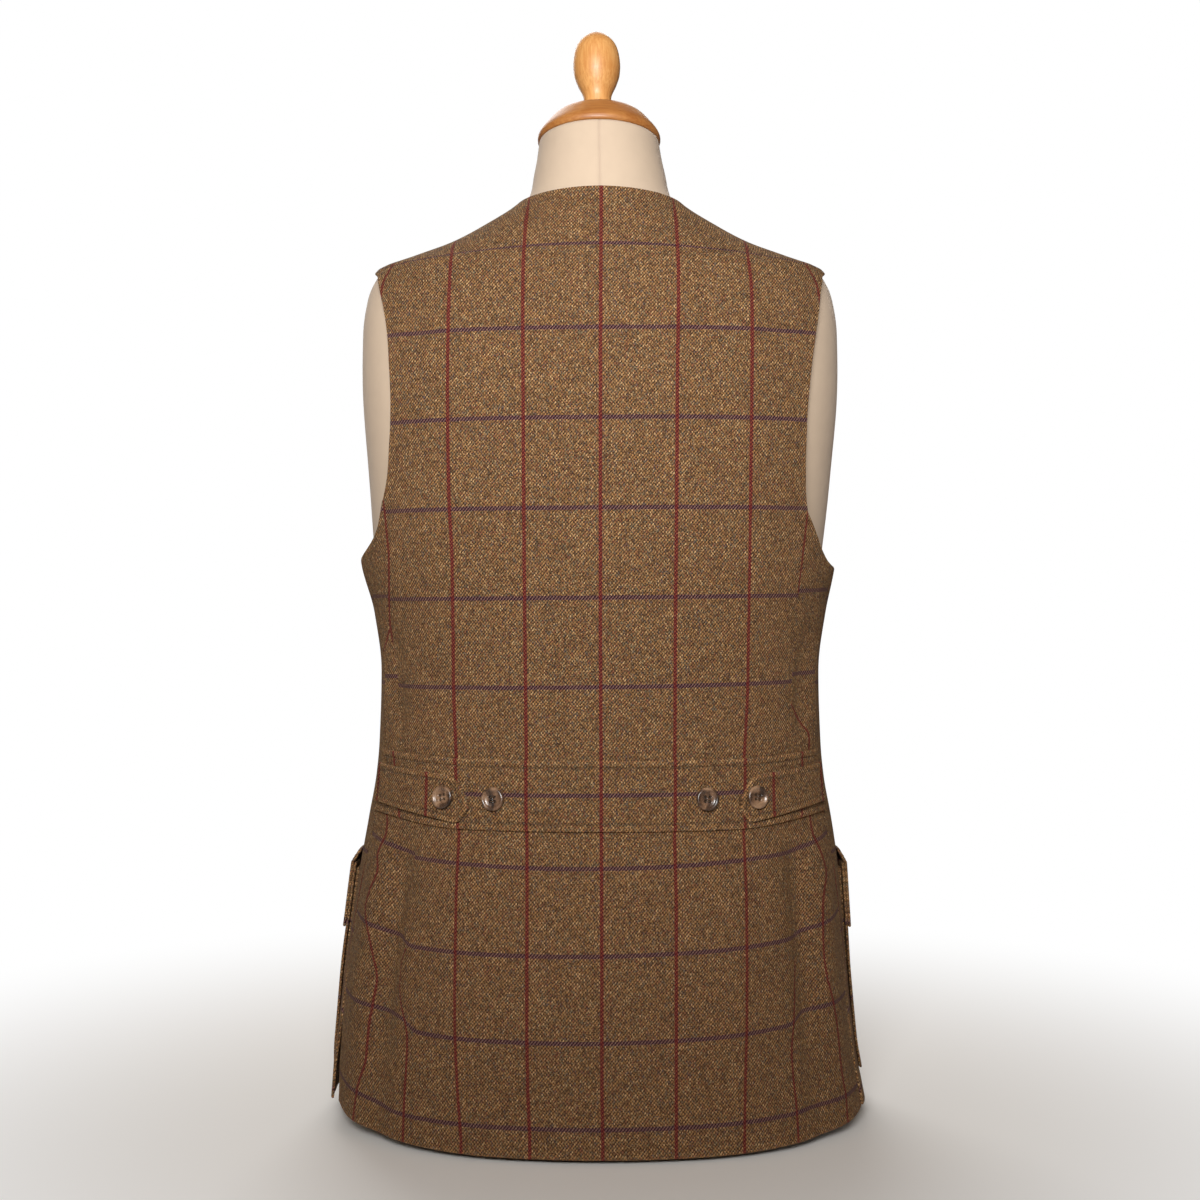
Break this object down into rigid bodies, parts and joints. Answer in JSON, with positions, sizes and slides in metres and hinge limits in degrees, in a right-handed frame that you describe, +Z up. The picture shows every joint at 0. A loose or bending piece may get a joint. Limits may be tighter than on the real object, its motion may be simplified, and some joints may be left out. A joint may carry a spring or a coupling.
{
  "type": "suit waistcoat on a dress form",
  "caption": "Tweed suit waistcoat with a windowpane check, a back band with buttoned tabs, side vents and patch pockets, worn by a limbless dress form with a turned wooden cap.",
  "frame": {"origin": "middle of the dress form's flat base, on the floor just under the hem", "axes": "+Z up, the chest faces -Y and the back +Y, the wearer's left is +X"},
  "size_m": [0.4545, 0.3117, 0.9144],
  "materials": {
    "tweed": "woollen 2/2 twill with a burgundy and purple windowpane check, matt",
    "horn": "turned brown horn, polished rim",
    "cover": "cream cotton cover, plain weave, matt",
    "beech": "turned beech, warm clear varnish"
  },
  "bodies": {
    "root": {"back_panel": "tweed", "side_panel_left": "tweed", "side_panel_right": "tweed", "front_panel_left": "tweed", "front_panel_right": "tweed", "back_band": "tweed", "tab_left": "tweed", "tab_right": "tweed", "pocket_bellows_left": "tweed", "pocket_bellows_right": "tweed", "pocket_face_left": "tweed", "pocket_face_right": "tweed", "pocket_flap_left": "tweed", "pocket_flap_right": "tweed", "band_button_left": "horn", "band_button_right": "horn", "tab_button_left": "horn", "tab_button_right": "horn", "front_button_1": "horn", "front_button_2": "horn", "front_button_3": "horn", "front_button_4": "horn", "front_button_5": "horn", "pocket_button_left": "horn", "pocket_button_right": "horn", "form_torso": "cover", "neck_cap": "beech", "cap_knob": "beech"}
  },
  "joints": []
}
